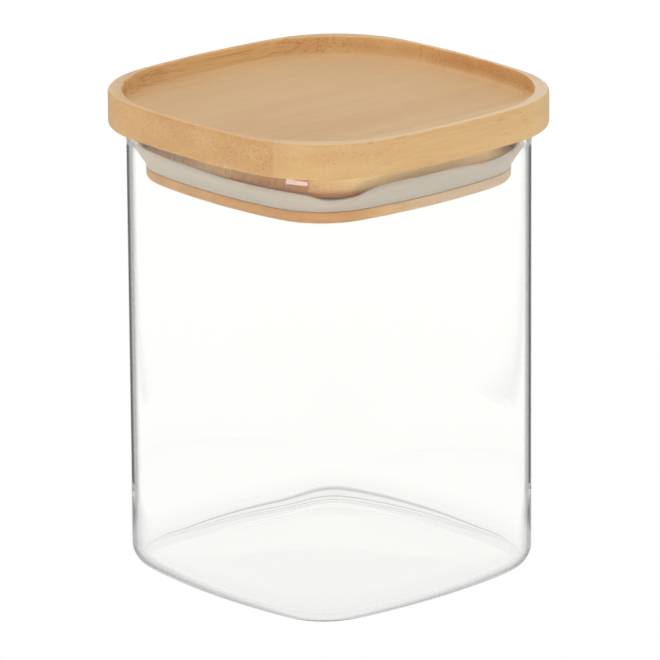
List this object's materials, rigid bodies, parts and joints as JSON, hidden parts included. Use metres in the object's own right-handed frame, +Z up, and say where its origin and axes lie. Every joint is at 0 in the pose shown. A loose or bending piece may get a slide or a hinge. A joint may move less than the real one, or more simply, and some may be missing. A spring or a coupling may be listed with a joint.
{
  "type": "storage jar",
  "caption": "Square clear glass storage jar with rounded corners, a bamboo lid with a stacking recess, and a flared silicone ring round the lid's plug.",
  "frame": {"origin": "centre of the flat foot ring that the jar stands on, at the bottom of the closed jar", "axes": "+Z up, along the jar's height; X and Y square to the four sides; the lid's grain runs along X"},
  "size_m": [0.11, 0.11, 0.1424],
  "materials": {
    "clear_glass": "polished, thin borosilicate glass",
    "bamboo_tray": "sanded bamboo with a thin matt lacquer",
    "bamboo_plug": "sanded bamboo with a thin matt lacquer",
    "silicone": "milky translucent silicone, satin"
  },
  "bodies": {
    "jar": {"glass_jar": "clear_glass"},
    "lid": {"lid_tray": "bamboo_tray", "lid_plug": "bamboo_plug", "seal_ring": "silicone"}
  },
  "joints": [
    {"name": "lid_lift", "type": "slide", "parent": "jar", "child": "lid", "axis": [0, 0, 1], "range_m": [0, 0.06]}
  ]
}
